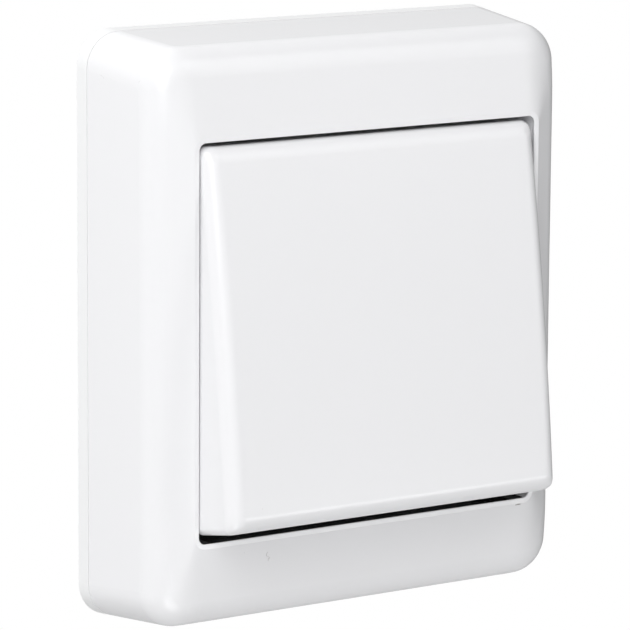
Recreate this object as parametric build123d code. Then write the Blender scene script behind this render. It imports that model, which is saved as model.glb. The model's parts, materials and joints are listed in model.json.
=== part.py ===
from build123d import *
from math import cos, radians, sin, tan
import os

# Surface-mounted rocker switch. Millimetres. X runs right, Y runs into the wall, Z runs up.
# The origin is the middle of the back face, which lies on the wall. Depths below are
# distances from the wall, so a depth of d is at Y = -d.

# Rocker opening in the cover
opening_width = 55.25
opening_height = 54.74
opening_corner = 1.0
opening_drop = 0.13
land_width = 0.75
lip_thickness = 0.9
lip_relief = 0.3
lip_recess = 1.1
lip_recess_inset = 2.5
lip_radius = 0.12

# Cover
side_border = 7.375
end_border = 13.63
rear_corner = 5.0
front_corner = 5.6
draft = 4.7
wall = 2.0
front_wall = 2.0
front_fillet = 4.6
side_bevel = 29.64
end_bevel = 9.24
hip_corner_width = 8.0
hip_corner_height = 18.0
collar_wall = 1.4
collar_depth = 8.7
ledge_thickness = 0.5
ledge_gap = 0.8
cover_rib = 1.2
cover_rib_place = 12.0
cover_rib_reach = 9.0

# Base
base_thickness = 2.3
parting_gap = 0.12
upstand_height = 3.2
upstand_wall = 1.3
upstand_fit = 0.2
snap_length = 10.0
snap_place = 15.0
snap_height = 1.0
snap_catch = 0.3
snap_fit = 0.15
wall_slot_width = 4.4
wall_slot_length = 8.0
wall_slot_from_side = 11.0
wall_slot_from_end = 9.5
wall_screw_head = 8.6
wall_screw_seat = 0.9
cable_entry_width = 20.0
cable_entry_height = 10.0
cable_entry_corner = 3.0
knockout_web = 0.7

# Mechanism stack, from the base outwards
seat_gap = 0.05
housing_floor = 1.2
chamber_height = 7.9
lid_thickness = 1.4
bearing_height = 3.4
pivot_depth = 3.5

# Rocker
side_gap = 0.31
end_gap = 1.32
side_play = 0.17
rocker_side_draft = 1.0
rocker_end_draft = -2.5
rocker_rise = 5.3
rocker_crown = 0.6
rocker_corner = 2.9
rocker_edge = 2.8
rocker_wall = 1.9
skirt_depth = 4.2
rocker_tilt = 7.66
rocker_rib = 1.2
rocker_rib_place = 7.5
rocker_rib_inset = 1.0
hook_width = 8.0
hook_thickness = 1.4
hook_nib = 0.7
hook_height = 1.2
hook_fit = 0.12

# Rocker carrier
carrier_width = 22.0
carrier_plate_width = 21.0
carrier_plate_height = 24.0
carrier_plate_thickness = 2.5
carrier_plate_rise = 2.0
carrier_plate_corner = 1.0
hub_clearance = 0.5
hub_web = 4.0
stem_radius = 3.6
stem_reach = 0.6
trunnion_radius = 2.0
trunnion_fit = 0.06

# Plunger and spring
plunger_radius = 2.2
plunger_length = 5.4
plunger_gap = 0.2
plunger_travel = 0.4
slide_fit = 0.08
bore_cap = 1.0
spring_radius = 1.6
spring_wire = 0.3
spring_turns = 4

# Mechanism housing and lid
skirt_clearance = 2.2
housing_corner = 3.0
chamber_wall_gap = 0.1
post_thickness = 4.0
post_width = 8.8
post_rise = 3.0
post_edge = 2.2
post_gap = 0.3
snap_in_share = 0.86
window_clearance = 1.0
stop_width = 3.0
stop_place = 7.5
stop_outer = 12.0
stop_length = 2.0
stop_gap = 0.25
pocket_margin = 2.4
pocket_clearance = 1.2
wire_entry_width = 5.0
ear_width = 7.2
ear_length = 7.4
ear_thickness = 2.0
ear_height = 3.2
ear_place = 16.0

# Contacts and terminals
strip_thickness = 0.6
strip_width = 6.0
land_rise = 4.2
land_half = 4.0
riser_place = 8.2
contact_arm = 9.5
contact_radius = 1.7
fixed_contact_height = 0.75
fixed_contact_edge = 0.25
moving_contact_height = 0.6
contact_dome = 3.0
closed_gap = 0.12
bridge_thickness = 0.8
bridge_width = 6.0
bridge_overhang = 1.6
bridge_corner = 1.0
bridge_throw = 9.5
lug_radius = 0.6
lug_fit = 0.1
fulcrum_wall = 0.8
fulcrum_gap = 0.6
fulcrum_length = 4.4
terminal_from_side = 8.0
clamp_size = 6.4
clamp_thickness = 0.9
clamp_lip = 0.5
clamp_groove = 0.3

# Screws
terminal_shank = 1.6
terminal_head = 2.8
terminal_head_height = 1.8
terminal_reach = 3.0
lid_shank = 1.0
lid_head = 2.1
lid_head_height = 1.4
lid_reach = 5.5
lid_screw_inset = 3.6
mount_shank = 1.5
mount_head = 2.8
mount_head_height = 1.8
mount_reach = 5.0
boss_wall = 1.9
screw_fit = 0.1
access_clearance = 0.4
drive_slot_width = 0.8
drive_slot_depth = 0.7
screw_head_edge = 0.5

# Overall sizes and depths that follow from the sizes above
body_width = opening_width + 2 * side_border
body_height = opening_height + 2 * end_border
housing_back = base_thickness + seat_gap
chamber_back = housing_back + housing_floor
housing_front = chamber_back + chamber_height
lid_back = housing_front + seat_gap
lid_front = lid_back + lid_thickness
pivot = lid_front + bearing_height
rim = pivot + pivot_depth
cover_back = base_thickness + parting_gap

rocker_width = opening_width - 2 * side_gap
rocker_height = opening_height - 2 * end_gap
rocker_face = rim + rocker_rise
skirt_end = rim - skirt_depth
mechanism_width = rocker_width - 2 * (rocker_wall + skirt_clearance)
mechanism_height = rocker_height - 2 * (rocker_wall + skirt_clearance)
plate_back = pivot + carrier_plate_rise
plate_front = plate_back + carrier_plate_thickness
stem_end = housing_front - stem_reach
bore_radius = plunger_radius + slide_fit
bore_end = plate_front - bore_cap

strip_back = chamber_back + seat_gap
strip_front = strip_back + strip_thickness
fixed_contact_front = strip_front + fixed_contact_height
land_back = chamber_back + land_rise
land_front = land_back + strip_thickness
closed_drop = (bridge_thickness / 2 + moving_contact_height) * cos(radians(bridge_throw))
fulcrum = fixed_contact_front + closed_gap + closed_drop + contact_arm * sin(radians(bridge_throw))
plunger_tip = fulcrum + bridge_thickness / 2 + plunger_gap
plunger_back = plunger_tip + plunger_length
clamp_back = land_front + seat_gap
terminal_seat = clamp_back + clamp_thickness + seat_gap
terminal_place = mechanism_width / 2 - terminal_from_side
ear_end = mechanism_height / 2 + ear_length
ear_screw = mechanism_height / 2 + ear_length / 2
ear_back = base_thickness + ear_height
ear_seat = ear_back + seat_gap
ear_front = ear_seat + ear_thickness
mount_tip = ear_front - mount_reach
entry_place = body_height / 2 - wall_slot_from_end

rocker_axis = Axis((0, -pivot, 0), (1, 0, 0))
bridge_axis = Axis((0, -fulcrum, 0), (1, 0, 0))


# Helpers
def at(depth):
    """Sketch plane parallel to the wall: local x is X, local y is Z, outward is local z."""
    return Plane(origin=(0, -depth, 0), x_dir=(1, 0, 0), z_dir=(0, -1, 0))


def prism(sketch, back, front):
    """A sketch in X and Z, extruded between two depths."""
    return extrude(at(back) * sketch, amount=front - back)


def block(x0, x1, z0, z1, back, front):
    """A plain block between two places along each direction."""
    face = Pos((x0 + x1) / 2, (z0 + z1) / 2) * Rectangle(x1 - x0, z1 - z0)
    return prism(face, back, front)


def peg(radius, x, z, back, front):
    """A round peg that stands out from the wall."""
    return prism(Pos(x, z) * Circle(radius), back, front)


def rod(radius, x0, x1, depth):
    """A round rod along X at a depth."""
    return Plane(origin=(x0, -depth, 0), z_dir=(1, 0, 0)) * extrude(Circle(radius), amount=x1 - x0)


def single(shape):
    """The one solid of a finished shape."""
    return shape.solids()[0]


def drafted_body(inset, back, front):
    """The cover's drafted outline between two depths, moved inwards by an inset."""
    def ring(depth):
        pull = depth * tan(radians(draft)) + inset
        corner = rear_corner + (front_corner - rear_corner) * depth / rim - inset
        return at(depth) * RectangleRounded(body_width - 2 * pull, body_height - 2 * pull, corner)

    return loft([ring(back), ring(front)], ruled=True)


def soft_outline(width, height, corner_width, corner_height):
    """A rectangle with elliptical corners."""
    a = width / 2
    b = height / 2
    x = a - corner_width
    z = b - corner_height

    def corner(sx, sz, start):
        return EllipticalCenterArc((sx * x, sz * z), corner_width, corner_height, start)

    edges = [
        Line((a, -z), (a, z)),
        corner(1, 1, 0),
        Line((x, b), (-x, b)),
        corner(-1, 1, 90),
        Line((-a, z), (-a, -z)),
        corner(-1, -1, 180),
        Line((-x, -b), (x, -b)),
        corner(1, -1, 270),
    ]
    return make_face(edges)


def hipped_body(front):
    """Four bevels that fall away from the land round the opening, with conical corners between them."""
    drop = (side_border - land_width) * tan(radians(side_bevel))
    spread = drop / tan(radians(end_bevel))
    crest_width = opening_width + 2 * land_width
    crest_height = opening_height + 2 * land_width
    crest_corner = opening_corner + land_width
    foot = soft_outline(body_width, crest_height + 2 * spread, hip_corner_width, hip_corner_height)
    crest = soft_outline(crest_width, crest_height, crest_corner, crest_corner)
    hip = loft([at(front - drop) * foot, at(front) * Pos(0, -opening_drop) * crest], ruled=True)
    return hip + prism(foot, 0, front - drop)


def opening_outline(grow):
    """The rocker opening's outline, grown on all sides."""
    outline = RectangleRounded(opening_width + 2 * grow, opening_height + 2 * grow, opening_corner + grow)
    return Pos(0, -opening_drop) * outline


def wall_to_front_edges(solid):
    """The edges where the drafted walls meet the bevels."""
    walls = [f for f in solid.faces() if abs(f.normal_at(f.center()).Y) < 0.3]
    edges = ShapeList(e for f in walls for e in f.edges())
    return edges.filter_by(lambda e: abs(e.tangent_at(0.5).Y) < 0.7 and -e.center().Y > rim / 2)


def screw(shank, head, head_height, x, z, seat, tip):
    """A slotted pan-head screw that points at the wall, with its head on a seat."""
    top = seat + head_height
    body = peg(head, x, z, seat, top)
    body = chamfer(body.faces().sort_by(Axis.Y)[0].edges(), screw_head_edge)
    body = body + peg(shank, x, z, tip, seat)
    slot = block(x - head, x + head, z - drive_slot_width / 2, z + drive_slot_width / 2,
                 top - drive_slot_depth, top)
    return single(body - slot)


# Cover frame: hollow drafted shell with the hipped front
def make_cover():
    outer = single(drafted_body(0, cover_back, rim) & hipped_body(rim))
    outer = fillet(wall_to_front_edges(outer), front_fillet)
    half_way = drafted_body(wall / 2, 0, rim) & hipped_body(rim - front_wall / 2)
    cavity = single(drafted_body(wall, 0, rim) & hipped_body(rim - front_wall))
    cavity = fillet(wall_to_front_edges(cavity), front_fillet - wall)
    cover = outer - cavity

    # Collar round the rocker's skirt, with a ledge that closes the room round the mechanism
    collar_back = rim - collar_depth
    cover = cover + prism(opening_outline(lip_recess + collar_wall), collar_back, rim - front_wall)

    # Stiffening ribs under the two tall bevels
    for side in (-1, 1):
        for end in (-1, 1):
            reach = sorted((end * (body_height / 2 - cover_rib_reach), end * body_height / 2))
            x = side * cover_rib_place
            rib = block(x - cover_rib / 2, x + cover_rib / 2, *reach, base_thickness + upstand_height, rim)
            cover = cover + (rib & half_way)

    # Opening: a relieved lip, a recess behind its two ends and the hole in the ledge
    lip_recesses = Pos(0, -opening_drop) * Rectangle(opening_width - 2 * lip_recess_inset,
                                                     opening_height + 2 * lip_recess)
    cover = cover - prism(lip_recesses, collar_back + ledge_thickness, rim - lip_thickness)
    cover = cover - prism(opening_outline(lip_relief), collar_back + ledge_thickness, rim - lip_thickness)
    ledge_hole = RectangleRounded(mechanism_width + 2 * ledge_gap, mechanism_height + 2 * ledge_gap,
                                  housing_corner)
    cover = cover - prism(ledge_hole, collar_back, rim)
    lip_back = at(rim - lip_thickness) * opening_outline(lip_relief)
    cover = single(cover - loft([lip_back, at(rim) * opening_outline(0)], ruled=True))
    front = cover.edges().filter_by(lambda e: abs(e.center().Y + rim) < 0.01)
    lip = front.filter_by(lambda e: abs(e.center().X) < (opening_width + land_width) / 2)
    lip = lip.filter_by(lambda e: abs(e.center().Z + opening_drop) < (opening_height + land_width) / 2)
    cover = fillet(lip, lip_radius)

    # Catches for the base's snaps, in the side walls
    for side in (-1, 1):
        for end in (-1, 1):
            cover = cover - snap(side, end, snap_catch + snap_fit, snap_fit)
    return single(cover)


def snap(side, end, depth, grow):
    """A snap rib on the base's upstand, grown by a clearance for its catch in the cover."""
    middle = base_thickness + upstand_height / 2
    face = body_width / 2 - middle * tan(radians(draft)) - wall
    x = sorted((side * (face - upstand_fit - upstand_wall / 2), side * (face + depth)))
    z0 = end * snap_place - snap_length / 2 - grow
    z1 = end * snap_place + snap_length / 2 + grow
    return block(*x, z0, z1, middle - snap_height / 2 - grow, middle + snap_height / 2 + grow)


# Base plate: wall plate with upstand, snaps, screw slots, cable entry and bosses
def make_base():
    base = drafted_body(0, 0, base_thickness)
    upstand_front = base_thickness + upstand_height
    outer = drafted_body(wall + upstand_fit, base_thickness / 2, upstand_front)
    inner = drafted_body(wall + upstand_fit + upstand_wall, base_thickness, upstand_front)
    base = base + (outer - inner)
    for side in (-1, 1):
        for end in (-1, 1):
            base = base + snap(side, end, snap_catch, 0)

    # Wall-screw slots with a sunk seat for the screw heads
    for side in (-1, 1):
        for end in (-1, 1):
            place = Pos(side * (body_width / 2 - wall_slot_from_side), end * entry_place)
            slot = place * SlotOverall(wall_slot_length, wall_slot_width)
            seat = place * SlotOverall(wall_slot_length + wall_screw_head - wall_slot_width, wall_screw_head)
            base = base - prism(slot, 0, base_thickness)
            base = base - prism(seat, base_thickness - wall_screw_seat, base_thickness)

    # Cable entry above the mechanism, and a thin knock-out below it
    entry = RectangleRounded(cable_entry_width, cable_entry_height, cable_entry_corner)
    base = base - prism(Pos(0, entry_place) * entry, 0, base_thickness)
    base = base - prism(Pos(0, -entry_place) * entry, knockout_web, base_thickness)

    # Bosses that carry the mechanism's ears
    for side in (-1, 1):
        x = side * ear_place
        z = side * ear_screw
        base = base + peg(mount_shank + boss_wall, x, z, base_thickness / 2, ear_back)
        base = base - peg(mount_shank + screw_fit, x, z, mount_tip - screw_fit, ear_back)
    return single(base)


def tipped(shape):
    """A piece of the rocker in its rest place: top pressed in, and moved left by the side play."""
    return Pos(-side_play, 0, 0) * single(shape).rotate(rocker_axis, -rocker_tilt)


# Rocker: crowned, drafted button with a skirt, ribs and two hooks
def rocker_form(inset, corner, face):
    """Solid between the skirt's end and a crowned face."""
    top = rocker_face + rocker_wall

    def ring(depth):
        width = rocker_width + 2 * (rim - depth) * tan(radians(rocker_side_draft)) - 2 * inset
        height = rocker_height + 2 * (rim - depth) * tan(radians(rocker_end_draft)) - 2 * inset
        return at(depth) * RectangleRounded(width, height, corner)

    shell = loft([ring(skirt_end), ring(top)], ruled=True)
    end = rocker_height / 2
    crown = make_face([
        ThreePointArc((-face + rocker_crown, -end), (-face, 0), (-face + rocker_crown, end)),
        Polyline((-face + rocker_crown, end), (-face + rocker_crown, 2 * end), (0, 2 * end),
                 (0, -2 * end), (-face + rocker_crown, -2 * end), (-face + rocker_crown, -end)),
    ])
    return single(shell & extrude(Plane.YZ * crown, amount=rocker_width, both=True))


def make_rocker():
    outer = rocker_form(0, rocker_corner, rocker_face)
    outer = fillet(outer.faces().sort_by(Axis.Y)[0].edges(), rocker_edge)
    rocker = outer - rocker_form(rocker_wall, rocker_corner - rocker_wall, rocker_face - rocker_wall)
    ceiling = rocker_face - rocker_wall / 2
    rib_end = carrier_plate_height / 2 - rocker_rib_inset

    # Ribs that bear on the carrier's plate
    for side in (-1, 1):
        x = side * rocker_rib_place
        rib = block(x - rocker_rib / 2, x + rocker_rib / 2, -rib_end, rib_end,
                    plate_front + seat_gap, ceiling)
        rocker = rocker + rib

    # Hooks that snap behind the plate's two ends
    for end in (-1, 1):
        near = carrier_plate_height / 2 + hook_fit
        far = near + hook_thickness
        nib_front = plate_back - hook_fit
        nib_back = nib_front - hook_height
        leg = sorted((end * near, end * far))
        nib = sorted((end * (near - hook_nib), end * far))
        rocker = rocker + block(-hook_width / 2, hook_width / 2, *leg, nib_back, ceiling)
        rocker = rocker + block(-hook_width / 2, hook_width / 2, *nib, nib_back, nib_front)
    return tipped(rocker)


# Rocker carrier: plate, hub with trunnions and the stem that holds the plunger
def make_carrier():
    plate = RectangleRounded(carrier_plate_width, carrier_plate_height, carrier_plate_corner)
    carrier = prism(plate, plate_back, plate_front)
    carrier = carrier + rod(bearing_height - hub_clearance, -carrier_width / 2, carrier_width / 2, pivot)
    carrier = carrier + block(-carrier_plate_width / 2, carrier_plate_width / 2, -hub_web / 2, hub_web / 2,
                              pivot, plate_back)
    trunnion_end = carrier_width / 2 + post_gap + post_thickness
    carrier = carrier + rod(trunnion_radius, -trunnion_end, trunnion_end, pivot)
    carrier = carrier + peg(stem_radius, 0, 0, stem_end, plate_back)
    carrier = carrier - peg(bore_radius, 0, 0, stem_end, bore_end)
    return tipped(carrier)


# Plunger with a round nose, and the spring behind it
def make_plunger():
    plunger = peg(plunger_radius, 0, 0, plunger_tip + plunger_radius, plunger_back)
    nose = Pos(0, -plunger_tip - plunger_radius, 0) * Sphere(plunger_radius)
    return tipped(plunger + nose)


def make_spring():
    back = plunger_back + spring_wire + seat_gap
    front = bore_end - plunger_travel - spring_wire - seat_gap
    pitch = (front - back) / spring_turns
    path = Helix(pitch, front - back, spring_radius)
    section = Plane(origin=path @ 0, z_dir=path % 0) * Circle(spring_wire)
    coil = sweep(section, path=path, is_frenet=True)
    return tipped(at(back) * coil)


# Contact bridge: see-saw strip with lugs and a contact tip at each end
def make_bridge():
    half = bridge_thickness / 2
    length = 2 * (contact_arm + contact_radius + bridge_overhang)
    bridge = prism(RectangleRounded(bridge_width, length, bridge_corner), fulcrum - half, fulcrum + half)
    lug_end = bridge_width / 2 + fulcrum_gap + fulcrum_wall
    for side in (-1, 1):
        reach = sorted((side * (bridge_width / 2 - lug_radius), side * lug_end))
        bridge = bridge + rod(lug_radius, *reach, fulcrum)
    return single(bridge).rotate(bridge_axis, bridge_throw)


def make_moving_contact(end):
    front = fulcrum - bridge_thickness / 2
    back = front - moving_contact_height
    tip = peg(contact_radius, 0, end * contact_arm, back, front)
    dome = Pos(0, -back - contact_dome, end * contact_arm) * Sphere(contact_dome)
    return single(tip & dome).rotate(bridge_axis, bridge_throw)


# Terminal strips: a low run in the chamber, a riser and a raised land under the screw
def strip(side, far_end, middle):
    riser = riser_place + strip_thickness
    end = terminal_place + land_half
    outline = Polyline(
        (-side * far_end, strip_back),
        (-side * far_end, strip_front),
        (side * riser_place, strip_front),
        (side * riser_place, land_front),
        (side * end, land_front),
        (side * end, land_back),
        (side * riser, land_back),
        (side * riser, strip_back),
        close=True,
    )
    profile = Plane(origin=(0, 0, middle - strip_width / 2), x_dir=(1, 0, 0), z_dir=(0, 0, 1))
    body = extrude(profile * mirror(make_face(outline), Plane.XZ), amount=strip_width)
    hole = peg(terminal_shank + screw_fit, side * terminal_place, middle, land_back, land_front)
    return body - hole


def make_end_terminal(end):
    return single(strip(-1, contact_radius + bridge_overhang, end * contact_arm))


def make_common_terminal():
    body = strip(1, bridge_width / 2 + fulcrum_gap + 2 * fulcrum_wall, 0)
    near = bridge_width / 2 + fulcrum_gap
    top = fulcrum + lug_radius
    for side in (-1, 1):
        x = sorted((side * near, side * (near + fulcrum_wall)))
        post = block(*x, -fulcrum_length / 2, fulcrum_length / 2, strip_back, top)
        notch = rod(lug_radius + lug_fit, *x, fulcrum)
        mouth = block(*x, -lug_radius - lug_fit, lug_radius + lug_fit, fulcrum, top)
        body = body + (post - notch - mouth)
    return single(body)


def make_fixed_contact(end):
    tip = peg(contact_radius, 0, end * contact_arm, strip_front, fixed_contact_front)
    rim_edge = tip.faces().sort_by(Axis.Y)[0].edges()
    return single(chamfer(rim_edge, fixed_contact_edge))


# Screw terminals: saddle washers and their screws
terminals = {"common": (1, 0), "upper": (-1, contact_arm), "lower": (-1, -contact_arm)}


def make_clamp(name):
    side, z = terminals[name]
    x = side * terminal_place
    half = clamp_size / 2
    clamp = block(x - half, x + half, z - half, z + half, clamp_back, clamp_back + clamp_thickness)
    groove = block(x - half, x + half, z - half + clamp_lip, z + half - clamp_lip,
                   clamp_back, clamp_back + clamp_groove)
    return single(clamp - groove - peg(terminal_shank + screw_fit, x, z, 0, rim))


def make_terminal_screws():
    screws = []
    for side, z in terminals.values():
        tip = land_back - terminal_reach
        screws.append(screw(terminal_shank, terminal_head, terminal_head_height,
                            side * terminal_place, z, terminal_seat, tip))
    return Compound(children=screws)


# Mechanism housing: block with the contact chamber, terminal pockets and fixing ears
lid_screw_x = mechanism_width / 2 - lid_screw_inset
lid_screw_z = mechanism_height / 2 - lid_screw_inset
corners = [(sx * lid_screw_x, sz * lid_screw_z) for sx in (-1, 1) for sz in (-1, 1)]


def make_housing():
    outline = RectangleRounded(mechanism_width, mechanism_height, housing_corner)
    housing = prism(outline, housing_back, housing_front)
    chamber_x = riser_place + strip_thickness + chamber_wall_gap
    chamber_z = contact_arm + contact_radius + bridge_overhang + pocket_clearance
    housing = housing - block(-chamber_x, chamber_x, -chamber_z, chamber_z, chamber_back, housing_front)

    # Pockets for the three screw terminals, each with a wire entry through the outer wall
    pocket_end = mechanism_width / 2 - pocket_margin
    half = clamp_size / 2 + pocket_clearance
    for side, z in terminals.values():
        x = sorted((side * (chamber_x - chamber_wall_gap), side * pocket_end))
        housing = housing - block(*x, z - half, z + half, land_back - seat_gap, housing_front)
        x = sorted((side * (pocket_end - pocket_margin), side * mechanism_width))
        housing = housing - block(*x, z - wire_entry_width / 2, z + wire_entry_width / 2,
                                  land_front, housing_front)
        tip = land_back - terminal_reach - screw_fit
        housing = housing - peg(terminal_shank + 2 * screw_fit, side * terminal_place, z, tip, land_back)

    # Pilot holes for the lid's screws
    for x, z in corners:
        housing = housing - peg(lid_shank + screw_fit, x, z, lid_front - lid_reach - screw_fit, housing_front)

    # Ears that stand on the base's bosses
    for side in (-1, 1):
        x = side * ear_place
        z = sorted((side * (mechanism_height / 2 - ear_thickness / 2), side * ear_end))
        ear = block(x - ear_width / 2, x + ear_width / 2, *z, ear_seat, ear_front)
        housing = housing + ear
        housing = housing - peg(mount_shank + screw_fit, x, side * ear_screw, ear_back, ear_front)
    return single(housing)


# Mechanism lid: plate with the bearing posts, the stops and the access holes
def make_lid():
    outline = RectangleRounded(mechanism_width, mechanism_height, housing_corner)
    lid = prism(outline, lid_back, lid_front)
    swing = (pivot - stem_end) * sin(radians(rocker_tilt))
    window_x = stem_radius + window_clearance
    window_z = stem_radius + swing + window_clearance
    lid = lid - block(-window_x, window_x, -window_z, window_z, lid_back, lid_front)

    # Bearing posts, open at the front so that the trunnions snap in
    post_front = pivot + post_rise
    for side in (-1, 1):
        near = carrier_width / 2 + post_gap
        x = sorted((side * near, side * (near + post_thickness)))
        post = block(*x, -post_width / 2, post_width / 2, lid_back, post_front)
        post = fillet(post.faces().sort_by(Axis.Y)[0].edges().filter_by(Axis.X), post_edge)
        mouth = snap_in_share * trunnion_radius
        post = post - rod(trunnion_radius + trunnion_fit, *x, pivot)
        post = post - block(*x, -mouth, mouth, pivot, post_front)
        lid = lid + post

    # Stops under the carrier's plate, reached at each end of the rocker's throw
    lean = radians(rocker_tilt)
    along = (stop_outer - carrier_plate_rise * sin(lean)) / cos(lean)
    stop_front = pivot + carrier_plate_rise * cos(lean) - along * sin(lean) - stop_gap
    for side in (-1, 1):
        for end in (-1, 1):
            x = side * stop_place
            z = sorted((end * (stop_outer - stop_length), end * stop_outer))
            lid = lid + block(x - stop_width / 2, x + stop_width / 2, *z, lid_back, stop_front)

    for side, z in terminals.values():
        lid = lid - peg(terminal_head + access_clearance, side * terminal_place, z, lid_back, lid_front)
    for x, z in corners:
        lid = lid - peg(lid_shank + screw_fit, x, z, lid_back, lid_front)
    return single(lid)


def make_lid_screws():
    screws = []
    for x, z in corners:
        seat = lid_front + seat_gap
        screws.append(screw(lid_shank, lid_head, lid_head_height, x, z, seat, lid_front - lid_reach))
    return Compound(children=screws)


def make_mechanism_screws():
    screws = []
    for side in (-1, 1):
        screws.append(screw(mount_shank, mount_head, mount_head_height, side * ear_place,
                            side * ear_screw, ear_front + seat_gap, mount_tip))
    return Compound(children=screws)


pieces = {
    "base_plate": make_base(),
    "cover_frame": make_cover(),
    "rocker": make_rocker(),
    "rocker_carrier": make_carrier(),
    "plunger": make_plunger(),
    "plunger_spring": make_spring(),
    "contact_bridge": make_bridge(),
    "upper_moving_contact": make_moving_contact(1),
    "lower_moving_contact": make_moving_contact(-1),
    "mechanism_housing": make_housing(),
    "mechanism_lid": make_lid(),
    "common_terminal": make_common_terminal(),
    "upper_terminal": make_end_terminal(1),
    "lower_terminal": make_end_terminal(-1),
    "upper_fixed_contact": make_fixed_contact(1),
    "lower_fixed_contact": make_fixed_contact(-1),
    "common_clamp": make_clamp("common"),
    "upper_clamp": make_clamp("upper"),
    "lower_clamp": make_clamp("lower"),
    "terminal_screws": make_terminal_screws(),
    "lid_screws": make_lid_screws(),
    "mechanism_screws": make_mechanism_screws(),
}

os.makedirs("parts", exist_ok=True)
for name, piece in pieces.items():
    export_step(piece, f"parts/{name}.step")

print(f"body {body_width:.2f} x {body_height:.2f}, rim at {rim:.2f}, pivot at {pivot:.2f}")
print(f"fulcrum at {fulcrum:.3f}, rocker throw {2 * rocker_tilt:.2f}, bridge throw {2 * bridge_throw:.2f}")
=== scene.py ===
# %% [markdown]
# # A surface-mounted light switch
# The switch is a white moulded box with one big rocker. Its solids come packed in a frame, at real size and in
# metres: +X is right, +Y goes into the wall and +Z is up. This lesson gives those solids their finish, models the
# rocker again with finer edges, lays the dust that a camera sees on white plastic, and then sets up the studio.

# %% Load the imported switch
import json
import math

import bpy
from mathutils import Matrix, Quaternion, Vector


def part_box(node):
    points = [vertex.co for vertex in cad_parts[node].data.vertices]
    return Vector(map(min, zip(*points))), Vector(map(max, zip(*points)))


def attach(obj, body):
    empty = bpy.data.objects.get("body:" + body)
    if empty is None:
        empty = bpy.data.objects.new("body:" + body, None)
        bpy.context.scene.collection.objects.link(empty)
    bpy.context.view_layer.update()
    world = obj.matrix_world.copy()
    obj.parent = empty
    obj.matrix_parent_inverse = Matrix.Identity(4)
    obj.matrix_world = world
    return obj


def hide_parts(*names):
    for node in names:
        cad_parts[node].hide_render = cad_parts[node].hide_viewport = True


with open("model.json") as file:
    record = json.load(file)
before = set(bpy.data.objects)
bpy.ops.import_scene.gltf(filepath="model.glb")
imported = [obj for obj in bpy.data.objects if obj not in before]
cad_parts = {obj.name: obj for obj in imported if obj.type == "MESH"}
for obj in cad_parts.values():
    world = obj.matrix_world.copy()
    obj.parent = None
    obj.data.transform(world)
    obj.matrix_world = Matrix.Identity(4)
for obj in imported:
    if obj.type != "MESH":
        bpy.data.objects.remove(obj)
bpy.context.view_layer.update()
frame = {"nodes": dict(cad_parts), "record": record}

MM = 0.001
nodes = frame["nodes"]

# %% [markdown]
# ## The camera
# The switch was photographed with a long lens, from the left and a little above. A long lens keeps the upright
# edges nearly parallel, which is why the switch looks calm and square. The camera looks along one line, with a
# trace of roll, and the middle of the picture is the middle of the lens, so no shift is needed.

# %% Set up the camera
camera_place = Vector((-314.56, -479.40, 103.88)) * MM
camera_azimuth = math.radians(33.607)
camera_tilt = math.radians(-10.420)
camera_roll = math.radians(0.384)
camera_lens = 235.0
camera_near = 0.05

looking = Vector((
    math.sin(camera_azimuth) * math.cos(camera_tilt),
    math.cos(camera_azimuth) * math.cos(camera_tilt),
    math.sin(camera_tilt),
))
camera_turn = looking.to_track_quat("-Z", "Y") @ Quaternion((0, 0, 1), camera_roll)
camera_data = bpy.data.cameras.new("picture_camera")
camera_data.lens = camera_lens
camera_data.clip_start = camera_near
camera = bpy.data.objects.new("picture_camera", camera_data)
bpy.context.scene.collection.objects.link(camera)
camera.location = camera_place
camera.rotation_mode = "QUATERNION"
camera.rotation_quaternion = camera_turn
bpy.context.scene.camera = camera
print("camera looks along", [round(c, 4) for c in looking])

# %% [markdown]
# ## Writing shader maths as plain sums
# A material is a graph of nodes, and a graph is hard to read as code. Two small helpers make it readable. `Value`
# wraps one socket, so that `0.3 + 0.1 * grain` adds the Math nodes by itself. `Finish` owns one material and makes
# any other node from its type, its settings and its sockets.

# %% The socket wrapper


class Value:
    """One output socket, with sums that add Math nodes."""

    def __init__(self, finish, socket):
        self.finish = finish
        self.socket = socket

    def sum(self, operation, first, second):
        made = self.finish.node("ShaderNodeMath", {"operation": operation}, {0: first, 1: second})
        return self.finish.value(made, "Value")

    def __add__(self, other):
        return self.sum("ADD", self, other)

    def __radd__(self, other):
        return self.sum("ADD", other, self)

    def __sub__(self, other):
        return self.sum("SUBTRACT", self, other)

    def __mul__(self, other):
        return self.sum("MULTIPLY", self, other)

    def __rmul__(self, other):
        return self.sum("MULTIPLY", other, self)

    def __gt__(self, other):
        return self.sum("GREATER_THAN", self, other)

    def __lt__(self, other):
        return self.sum("LESS_THAN", self, other)

    def __abs__(self):
        return self.sum("ABSOLUTE", self, 0.0)


print("socket wrapper ready")

# %% The material maker


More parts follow.
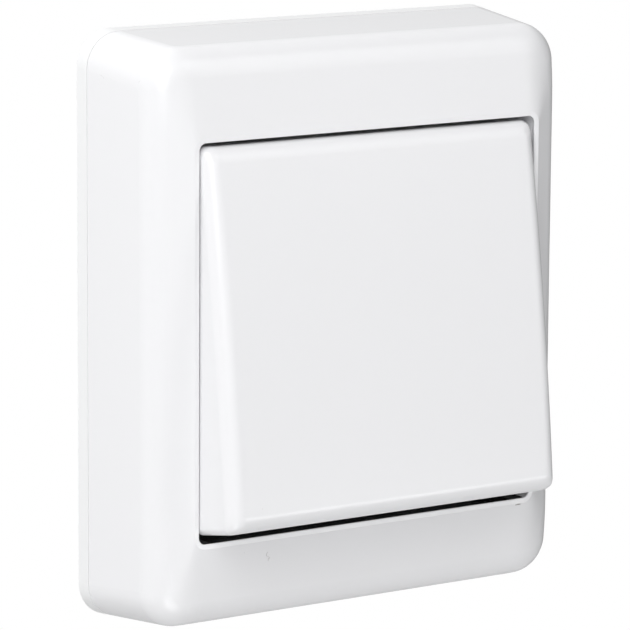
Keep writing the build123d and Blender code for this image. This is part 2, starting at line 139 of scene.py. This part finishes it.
class Finish:
    """One material on Object coordinates, or the nodes of a tree that is given."""

    def __init__(self, name=None, tree=None):
        if tree:
            self.tree = tree
            return
        self.material = bpy.data.materials.new(name)
        self.material.use_nodes = True
        self.tree = self.material.node_tree
        self.shader = self.tree.nodes["Principled BSDF"]
        self.place = self.value(self.node("ShaderNodeTexCoord"), "Object")

    def node(self, kind, settings=None, sockets=None):
        made = self.tree.nodes.new(kind)
        for key, setting in (settings or {}).items():
            setattr(made, key, setting)
        for key, given in (sockets or {}).items():
            self.feed(made.inputs[key], given)
        return made

    def value(self, node, output):
        return Value(self, node.outputs[output])

    def feed(self, socket, given):
        if isinstance(given, Value):
            self.tree.links.new(given.socket, socket)
        else:
            socket.default_value = given

    def set(self, **sockets):
        for key, given in sockets.items():
            self.feed(self.shader.inputs[key.replace("_", " ")], given)

    def noise(self, size, detail=2.0):
        """Soft noise, whose bumps are about one size across, in metres."""
        sockets = {"Vector": self.place, "Scale": 1 / size, "Detail": detail}
        return self.value(self.node("ShaderNodeTexNoise", None, sockets), "Fac")

    def mix(self, factor, first, second):
        """A colour between two colours. The node's sockets share their names, so its colours go by number."""
        colour_a, colour_b, colour_made = 6, 7, 2
        sockets = {"Factor": factor, colour_a: first, colour_b: second}
        return self.value(self.node("ShaderNodeMix", {"data_type": "RGBA"}, sockets), colour_made)

    def bump(self, height, distance):
        """A surface normal from a height, for bumps of a distance in metres."""
        made = self.node("ShaderNodeBump", None, {"Height": height, "Distance": distance})
        return self.value(made, "Normal")


print("material maker ready")

# %% [markdown]
# ## Painted shade in the pockets behind the lip
# The rim of the opening is a thin lip. Above and below the rocker the cover is hollowed out behind it, so that the
# rocker can swing, and the picture shows nearly black lines there. The hollows are part of the solid. A mask made
# from the Object coordinates finds them, and the material paints shade there: white outside and a painted dark grey
# inside, with no seams.

# %% Where the pockets are
lip_back_y = -18.9 * MM
pocket_start = 27.5 * MM
pocket_end = 28.6 * MM
pocket_half_width = 25.2 * MM
lower_pocket_reach = 2.4 * MM
opening_middle_z = -0.13 * MM
# Painted shade: the dark grey that stands in for the deep shade inside the pockets behind the lip.
painted_pocket_shade = (0.05, 0.05, 0.052, 1)


def painted_pocket_shade_mask(finish):
    """One in the two pockets, above and below the opening, where shade is painted, and nothing elsewhere."""
    along = finish.node("ShaderNodeSeparateXYZ", None, {0: finish.place})
    height = finish.value(along, "Z") - opening_middle_z
    up = abs(height)
    half_width = pocket_half_width + lower_pocket_reach * (height < 0.0)
    across = abs(finish.value(along, "X"))
    beyond_edge = (up > pocket_start) * (up < pocket_end) * (across < half_width)
    return beyond_edge * (finish.value(along, "Y") > lip_back_y)


print("pockets from", round(pocket_start / MM, 1), "to", round(pocket_end / MM, 1), "mm off the middle")

# %% [markdown]
# ## White moulded plastic
# The cover and the rocker are moulded in white plastic with a satin gloss. The tool that moulds them is finely
# polished, so the grain is hardly seen, but it spreads the highlights. A trace of cloudiness in tone and gloss keeps
# the white from looking like paint on a screen. The base, the inner pieces and the insulating block are duller and
# coarser, so one function makes them all and takes the tone, the gloss and the depth of the grain.

# %% The plastic finishes
cloud_size = 9 * MM
grain_size = 0.22 * MM
grain_detail = 1.0
cloud_in_gloss = 0.02
grain_in_gloss = 0.01
plastic_ior = 1.5


def white_plastic(name, light, shade, gloss, grain_depth, painted_shade_mask=None):
    finish = Finish(name)
    cloud = finish.noise(cloud_size)
    grain = finish.noise(grain_size, grain_detail)
    colour = finish.mix(cloud, light, shade)
    # Painted shade: the colour turns dark grey where the mask finds the pockets behind the lip.
    if painted_shade_mask:
        colour = finish.mix(painted_shade_mask(finish), colour, painted_pocket_shade)
    finish.set(
        Base_Color=colour,
        Roughness=gloss - cloud_in_gloss / 2 + cloud_in_gloss * cloud + grain_in_gloss * grain,
        Normal=finish.bump(grain, grain_depth),
        IOR=plastic_ior,
    )
    return finish.material


white_tone = ((0.884, 0.885, 0.9, 1), (0.879, 0.88, 0.895, 1))
base_tone = ((0.9, 0.905, 0.91, 1), (0.885, 0.89, 0.895, 1))
inner_tone = ((0.8, 0.8, 0.78, 1), (0.77, 0.77, 0.75, 1))
block_tone = ((0.32, 0.33, 0.34, 1), (0.28, 0.29, 0.3, 1))
shell_gloss = 0.22
shell_grain = 0.0003 * MM
rocker_white = white_plastic("rocker_white", *white_tone, shell_gloss, shell_grain)
# The cover's white has painted shade in its pockets behind the lip.
shell_white_painted_shade = white_plastic("shell_white_painted_shade", *white_tone, shell_gloss, shell_grain, painted_pocket_shade_mask)
base_white = white_plastic("base_white", *base_tone, gloss=0.38, grain_depth=0.003 * MM)
inner_white = white_plastic("inner_white", *inner_tone, gloss=0.45, grain_depth=0.004 * MM)
block_grey = white_plastic("block_grey", *block_tone, gloss=0.5, grain_depth=0.006 * MM)
print("plastics", shell_white_painted_shade.name, base_white.name, inner_white.name, block_grey.name)

# %% [markdown]
# ## Metal inside
# Behind the rocker sit brass strips, steel screws and silvered contact tips. The closed case hides most of them, but
# they show when it is taken to pieces. Rolled brass has streaks along one direction, and zinc on steel has a cloudy
# bloom, so the same noise is stretched along one axis for the brass and left even for the others.

# %% The metal finishes
bloom_size = 1.5 * MM
streak_depth = 0.004 * MM
streak_detail = 3.0
gloss_shift = 0.08
bloom_in_gloss = 0.1
streak_in_gloss = 0.1


def rolled_metal(name, light, shade, gloss, streak):
    finish = Finish(name)
    stretched = finish.node("ShaderNodeMapping", None, {"Vector": finish.place, "Scale": streak})
    made = finish.node("ShaderNodeTexNoise", None, {"Scale": 1.0, "Detail": streak_detail})
    finish.tree.links.new(stretched.outputs["Vector"], made.inputs["Vector"])
    lines = finish.value(made, "Fac")
    cloud = finish.noise(bloom_size)
    finish.set(
        Base_Color=finish.mix(cloud, light, shade),
        Metallic=1.0,
        Roughness=gloss - gloss_shift + bloom_in_gloss * cloud + streak_in_gloss * lines,
        Normal=finish.bump(lines, streak_depth),
    )
    return finish.material


brass_tone = ((0.82, 0.6, 0.27, 1), (0.68, 0.48, 0.2, 1))
zinc_tone = ((0.66, 0.68, 0.7, 1), (0.55, 0.57, 0.6, 1))
silver_tone = ((0.86, 0.85, 0.82, 1), (0.76, 0.75, 0.72, 1))
brass = rolled_metal("rolled_brass", *brass_tone, gloss=0.3, streak=(600, 9000, 9000))
zinc = rolled_metal("zinc_steel", *zinc_tone, gloss=0.35, streak=(2500, 2500, 2500))
silver = rolled_metal("contact_silver", *silver_tone, gloss=0.25, streak=(4000, 4000, 4000))
print("metals", brass.name, zinc.name, silver.name)

# %% [markdown]
# ## A finish for every solid
# The record that comes with the solids says which material slot each of them takes. A material is put on a solid by
# its slot, so the mesh itself isn't touched, and a solid that is added later gets its finish by itself.

# %% Give every solid its finish
finish_of_slot = {
    "white_shell": shell_white_painted_shade,
    "white_base": base_white,
    "white_inner_plastic": inner_white,
    "insulating_plastic": block_grey,
    "brass": brass,
    "contact_metal": silver,
    "steel": zinc,
}
for subpart in frame["record"]["subparts"]:
    solid = nodes[subpart["node"]]
    solid.data.materials.clear()
    solid.data.materials.append(finish_of_slot[subpart["material_slot"]])

# %% [markdown]
# ## The rocker
# The big button has wide soft edges round its face, but the four corners where its sides meet are tight. In the
# solid those corners are as round as the face's edges, because one ball is rolled along them all. A Bevel modifier
# has a weight for each edge, so here the button is modelled again, from a block with leaning sides and a crowned
# face, at the same place as the solid. It is made square to the wall first, and leans back on its pivot at the end.

# %% The block with leaning sides
rocker_back_y = -15.6 * MM
rocker_front_y = -25.1 * MM
back_half = Vector((27.288, 0, 26.55)) * MM
front_half = Vector((27.12, 0, 26.0)) * MM
bpy.ops.object.select_all(action="DESELECT")
bpy.ops.mesh.primitive_cube_add(size=1, location=(0, (rocker_back_y + rocker_front_y) / 2, 0))
rocker_cap = bpy.context.object
rocker_cap.name = "rocker_cap"
rocker_cap.scale = (2 * back_half.x, rocker_back_y - rocker_front_y, 2 * back_half.z)
bpy.ops.object.transform_apply(location=True, rotation=True, scale=True)
skin = rocker_cap.data
print("block in mm", [round(side / MM, 2) for side in rocker_cap.dimensions])

# %% Lean the sides by making the front smaller
front_zone = 1 * MM


def select_points(mesh, wanted):
    """Selects points by their place, with all else let go."""
    bpy.ops.object.mode_set(mode="EDIT")
    bpy.ops.mesh.select_mode(type="VERT")
    bpy.ops.mesh.select_all(action="DESELECT")
    bpy.ops.object.mode_set(mode="OBJECT")
    for point in mesh.vertices:
        point.select = wanted(point.co)
    bpy.ops.object.mode_set(mode="EDIT")


def at_front(place):
    return place.y < rocker_front_y + front_zone


select_points(skin, at_front)
bpy.ops.transform.resize(
    value=(front_half.x / back_half.x, 1, front_half.z / back_half.z),
    center_override=(0, rocker_front_y, 0),
)
bpy.ops.object.mode_set(mode="OBJECT")
print("front is", round(2 * front_half.x / MM, 2), "by", round(2 * front_half.z / MM, 2), "mm")

# %% [markdown]
# ### The face and its edges
# The face bulges a little from top to bottom, which keeps it from mirroring the room like a sheet of glass. It is
# divided into slices, and each slice is set back by the square of its distance from the middle. The edges come
# after that, because a bevel follows the shape it finds: full weight round the face, a little less along its right
# side, and least at the corners.

# %% The crowned face
crown_slices = 24
crown = 0.6 * MM
for edge in skin.edges:
    ends = [skin.vertices[i].co for i in edge.vertices]
    edge.select = all(at_front(place) for place in ends) and abs(ends[0].z - ends[1].z) > front_zone
bpy.ops.object.mode_set(mode="EDIT")
bpy.ops.mesh.select_mode(type="EDGE")
bpy.ops.mesh.subdivide(number_cuts=crown_slices - 1)
bpy.ops.object.mode_set(mode="OBJECT")
for point in skin.vertices:
    if at_front(point.co):
        point.co.y += crown * (point.co.z / front_half.z) ** 2
print("face points", sum(at_front(point.co) for point in skin.vertices))

# %% Wide soft edges and tight corners
soft_edge = 2.8 * MM
right_edge = 2.5 * MM
tight_corner = 1.5 * MM
rounding_steps = 12
near = 0.01 * MM
weights = skin.attributes.new("bevel_weight_edge", "FLOAT", "EDGE")
for edge in skin.edges:
    ends = [skin.vertices[i].co for i in edge.vertices]
    front_to_back = at_front(ends[0]) != at_front(ends[1])
    on_side = all(abs(abs(place.x) - front_half.x) < near for place in ends)
    on_end = all(abs(abs(place.z) - front_half.z) < near for place in ends)
    if front_to_back:
        weights.data[edge.index].value = tight_corner / soft_edge
    elif all(at_front(place) for place in ends) and (on_side or on_end):
        on_right = on_side and ends[0].x > 0
        weights.data[edge.index].value = right_edge / soft_edge if on_right else 1.0
rounding = rocker_cap.modifiers.new("rounding", "BEVEL")
rounding.limit_method = "WEIGHT"
rounding.width = soft_edge
rounding.segments = rounding_steps
bpy.ops.object.modifier_apply(modifier="rounding")
print("rounded points", len(skin.vertices))

# %% [markdown]
# ### The hollow and the lean
# A moulded button is a shell, and its back shows when it swings. Inset draws the wall's thickness on the back, and
# Extrude pushes the middle in. The shell then leans back about its pivot, as the solid does, and lies a little to
# the left, where it has play. It rides on the rocker's body, so that it swings with the joint.

# %% The hollow behind the face
rocker_wall = 1.9 * MM
hollow_depth = 6.9 * MM
select_points(skin, lambda place: place.y > rocker_back_y - near)
bpy.ops.mesh.select_mode(type="FACE")
bpy.ops.mesh.inset(thickness=rocker_wall)
bpy.ops.mesh.extrude_region_move(TRANSFORM_OT_translate={"value": (0, -hollow_depth, 0)})
bpy.ops.object.mode_set(mode="OBJECT")
print("hollow rocker points", len(skin.vertices))

# %% Lean the rocker back and smooth it
rocker_lean = math.radians(7.66)
rocker_pivot = Vector((0, -16.3, 0)) * MM
rocker_play = Vector((-0.27, 0, 0)) * MM
sharp_angle = math.radians(35)
skin.transform(
    Matrix.Translation(rocker_play + rocker_pivot)
    @ Matrix.Rotation(-rocker_lean, 4, "X")
    @ Matrix.Translation(-rocker_pivot)
)
bpy.ops.object.shade_smooth_by_angle(angle=sharp_angle)
even_light = rocker_cap.modifiers.new("even_light", "WEIGHTED_NORMAL")
even_light.keep_sharp = True
bpy.ops.object.modifier_apply(modifier="even_light")
skin.materials.append(rocker_white)
print("rocker leans by", round(math.degrees(rocker_lean), 2), "degrees")

# %% Put the rocker on its body
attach(rocker_cap, "rocker")
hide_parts("rocker")
solid_low, solid_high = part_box("rocker")
cap_low = Vector([min(point.co[i] for point in skin.vertices) for i in range(3)])
cap_high = Vector([max(point.co[i] for point in skin.vertices) for i in range(3)])
off_solid = [a - b for a, b in zip((*cap_low, *cap_high), (*solid_low, *solid_high))]
print("off the solid in mm", [round(step / MM, 2) for step in off_solid])

# %% [markdown]
# ## Dust
# A white switch shows every speck: a curled fibre and a grain on the lower bevel, a grain on the rocker, a thin flake
# at the rim of the opening and two fine hairs on the left wall. Each lies where the picture shows it. A ray from the
# camera through that point of the picture finds the surface, so the speck sits on the plastic from any side, and
# moves with it. Dust is dull and grey, so its finish is rough, with a fine fluff in its tone.

# %% Find the surface behind a point of the picture
picture_side = 630
focal_length = camera_lens / camera_data.sensor_width * picture_side
cover = nodes["cover_frame"]
bpy.context.view_layer.update()


def behind(carrier, pixel):
    """The place and the outward direction of a piece's surface behind a point of the picture."""
    across, down = ((given - picture_side / 2) / focal_length for given in pixel)
    ray = (camera_turn @ Vector((across, -down, -1))).normalized()
    place, outward = carrier.ray_cast(camera_place, ray)[1:3]
    return place, outward


curl_points = ((267.6, 551.9), (265.9, 554.6), (267.1, 556.5), (270.8, 557.6), (267.5, 558.9), (268.3, 560.8))
curl_start, bevel_outward = behind(cover, curl_points[0])
print("the fibre starts at", [round(c / MM, 2) for c in curl_start])
print("the bevel faces", [round(c, 2) for c in bevel_outward])

# %% The dust's finish
fluff_size = 0.05 * MM
fluff_in_gloss = 0.15
dust_gloss = 0.8
dust_tone = ((0.3, 0.29, 0.28, 1), (0.5, 0.49, 0.48, 1))
dust = Finish("dust_grey")
fluff = dust.noise(fluff_size)
dust.set(Base_Color=dust.mix(fluff, *dust_tone), Roughness=dust_gloss + fluff_in_gloss * fluff)
print("dust finish", dust.material.name)

# %% [markdown]
# ### Fibres
# A fibre is a thread of even thickness with a free curl. It could be extruded from a ring, but a curve is quicker,
# because its points can be laid on the surface one by one: a soft spline along them, a round thickness, and at the
# end a conversion to a mesh.

# %% Lay the fibres


def fibre(name, carrier, body, pixels, thickness):
    bpy.ops.object.select_all(action="DESELECT")
    bpy.ops.curve.primitive_nurbs_path_add(radius=1 * MM)
    line = bpy.context.object
    line.name = name
    line.data.splines.remove(line.data.splines[0])
    spline = line.data.splines.new("NURBS")
    spline.points.add(len(pixels) - 1)
    for point, pixel in zip(spline.points, pixels):
        place, outward = behind(carrier, pixel)
        point.co = (*(place + outward * thickness / 2), 1)
    spline.order_u = 3
    spline.use_endpoint_u = True
    line.data.bevel_depth = thickness / 2
    line.data.bevel_resolution = 2
    line.data.use_fill_caps = True
    bpy.ops.object.convert(target="MESH")
    line.data.materials.append(dust.material)
    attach(line, body)
    return line


wall_hair_points = ((99.7, 74.7), (102.4, 75.4), (103.7, 78.3))
corner_hair_points = ((138.0, 82.5), (139.1, 81.8), (140.0, 80.8))
curl_thickness = 0.034 * MM
wall_hair_thickness = 0.012 * MM
corner_hair_thickness = 0.014 * MM
curl = fibre("curled_fibre", cover, "case", curl_points, curl_thickness)
fibre("wall_hair", cover, "case", wall_hair_points, wall_hair_thickness)
fibre("corner_hair", cover, "case", corner_hair_points, corner_hair_thickness)
print("fibre points", len(curl.data.vertices))

# %% [markdown]
# ### Grains and a flake
# A grain of dust is a small uneven lump. A ball is roughened at random, flattened to the grain's three sizes and laid
# on the surface, with its flat side along it. That is quicker than sculpting, and no two come out alike. The flake is
# such a lump too, drawn out long and turned along the rim.

# %% Lay the grains and the flake
lump_roughness = 0.1


def grain(name, carrier, body, pixel, length, width, thickness, toward=None):
    place, outward = behind(carrier, pixel)
    bpy.ops.object.select_all(action="DESELECT")
    bpy.ops.mesh.primitive_ico_sphere_add(subdivisions=2, radius=0.5)
    lump = bpy.context.object
    lump.name = name
    bpy.ops.object.mode_set(mode="EDIT")
    bpy.ops.transform.vertex_random(offset=lump_roughness, seed=len(name))
    bpy.ops.transform.resize(value=(length, width, thickness), center_override=(0, 0, 0))
    bpy.ops.object.mode_set(mode="OBJECT")
    along = (behind(carrier, toward)[0] - place) if toward else Vector((1, 0, 0))
    along = (along - outward * along.dot(outward)).normalized()
    turn = Matrix((along, outward.cross(along), outward)).transposed().to_4x4()
    lump.data.transform(Matrix.Translation(place) @ turn)
    bpy.ops.object.shade_smooth()
    lump.data.materials.append(dust.material)
    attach(lump, body)


bevel_grain_point = (244.5, 552.8)
rocker_grain_point = (262.5, 509.0)
flake_start_point = (518.0, 504.4)
flake_end_point = (522.0, 503.7)
grain_sizes = (0.09 * MM, 0.07 * MM, 0.05 * MM)
flake_sizes = (1.05 * MM, 0.2 * MM, 0.06 * MM)
grain("bevel_grain", cover, "case", bevel_grain_point, *grain_sizes)
grain("rocker_grain", rocker_cap, "rocker", rocker_grain_point, *grain_sizes)
grain("rim_flake", cover, "case", flake_start_point, *flake_sizes, flake_end_point)
print("the flake is", round(flake_sizes[0] / MM, 2), "mm long")

# %% [markdown]
# ## The studio
# White on white needs light with a direction. Large soft discs stand on the left, low in front and high up on the
# right. Smaller ones stand lower on the right, where the front faces mirror them into the camera. A tent of light
# closes the studio below, on the left and behind, and stays dark on the right, so that the right edges turn grey. The
# floor lies well below, because this switch hangs on a wall.

# %% The floor
floor_depth = 0.9
floor_radius = 1.4
floor_corners = 64
floor_gloss = 0.9
floor_tone = ((0.8, 0.8, 0.8, 1), (0.78, 0.78, 0.78, 1))
dapple_size = 0.4
bpy.ops.object.select_all(action="DESELECT")
bpy.ops.mesh.primitive_circle_add(
    vertices=floor_corners, radius=floor_radius, fill_type="NGON", location=(0, 0, -floor_depth)
)
floor = bpy.context.object
floor.name = "floor"
bpy.ops.object.transform_apply(location=True, rotation=True, scale=True)
pale = Finish("pale_floor")
dapple = pale.noise(dapple_size)
pale.set(Base_Color=pale.mix(dapple, *floor_tone), Roughness=floor_gloss)
floor.data.materials.append(pale.material)
print("floor", round(floor_depth, 2), "m below")

# %% The soft light
light_distance = 1.0
large_disc = 0.55
middle_disc = 0.42
small_disc = 0.3


def light_disc(name, azimuth, height, size, power):
    """A round soft light that faces the switch. Azimuth 0 is straight in front, and minus is to the left."""
    turn, rise = math.radians(azimuth), math.radians(height)
    outward = Vector((math.sin(turn) * math.cos(rise), -math.cos(turn) * math.cos(rise), math.sin(rise)))
    data = bpy.data.lights.new(name, "AREA")
    data.shape = "DISK"
    data.size = size
    data.energy = power
    disc = bpy.data.objects.new(name, data)
    bpy.context.scene.collection.objects.link(disc)
    disc.location = outward * light_distance
    disc.rotation_mode = "QUATERNION"
    disc.rotation_quaternion = (-outward).to_track_quat("-Z", "Y")


light_disc("key_light", -45, 45, large_disc, 3.0)
light_disc("front_left_light", -45, 20, large_disc, 2.9)
light_disc("high_left_light", -75, 45, large_disc, 2.2)
light_disc("low_front_light", -20, -40, large_disc, 2.15)
light_disc("high_right_light", 40, 47, large_disc, 1.3)
light_disc("right_light", 36, 22, middle_disc, 0.72)
light_disc("low_right_light", 33, 3, small_disc, 0.24)
light_disc("rim_light", 33, -15.5, small_disc, 0.92)

# %% [markdown]
# ### The tent
# Plastic mirrors its whole surroundings, so the dark and light parts of the room matter as much as the lights. White
# boards could stand round the switch, but the world's nodes do the same with no geometry. Each panel of the tent is
# brightest in one direction and fades with the square of the cosine, and that cosine is a dot product. The camera
# itself sees plain white instead, as in a picture that was cut out.

# %% The tent round the switch
diagonal = 0.707
tent_panels = {
    "below": ((0, 0, -1), 1.8),
    "left": ((-1, 0, 0), 0.24),
    "behind_left": ((-diagonal, diagonal, 0), 0.3),
    "behind_above": ((0, diagonal, diagonal), 1.05),
}
world = bpy.data.worlds.new("studio_world")
bpy.context.scene.world = world
world.use_nodes = True
tent = Finish(tree=world.node_tree)
sky = tent.value(tent.node("ShaderNodeTexCoord"), "Generated")
room_light = 0.0
for direction, strength in tent_panels.values():
    facing = tent.node("ShaderNodeVectorMath", {"operation": "DOT_PRODUCT"}, {0: sky, 1: direction})
    aimed = tent.value(facing, "Value")
    toward = aimed.sum("MAXIMUM", aimed, 0.0)
    room_light = room_light + strength * toward * toward
print("tent panels", len(tent_panels))

# %% Light for the switch, plain white for the camera
plain_white = (1, 1, 1, 1)
unseen = tent.node("ShaderNodeBackground", None, {"Color": plain_white, "Strength": room_light})
backdrop = tent.node("ShaderNodeBackground", None, {"Color": plain_white})
seen = tent.node("ShaderNodeLightPath")
both = tent.node("ShaderNodeMixShader", None, {0: tent.value(seen, "Is Camera Ray")})
tent.tree.links.new(unseen.outputs[0], both.inputs[1])
tent.tree.links.new(backdrop.outputs[0], both.inputs[2])
tent.tree.links.new(both.outputs[0], tent.tree.nodes["World Output"].inputs["Surface"])
bpy.context.scene.view_settings.view_transform = "Standard"
print("world", world.name, "ready")
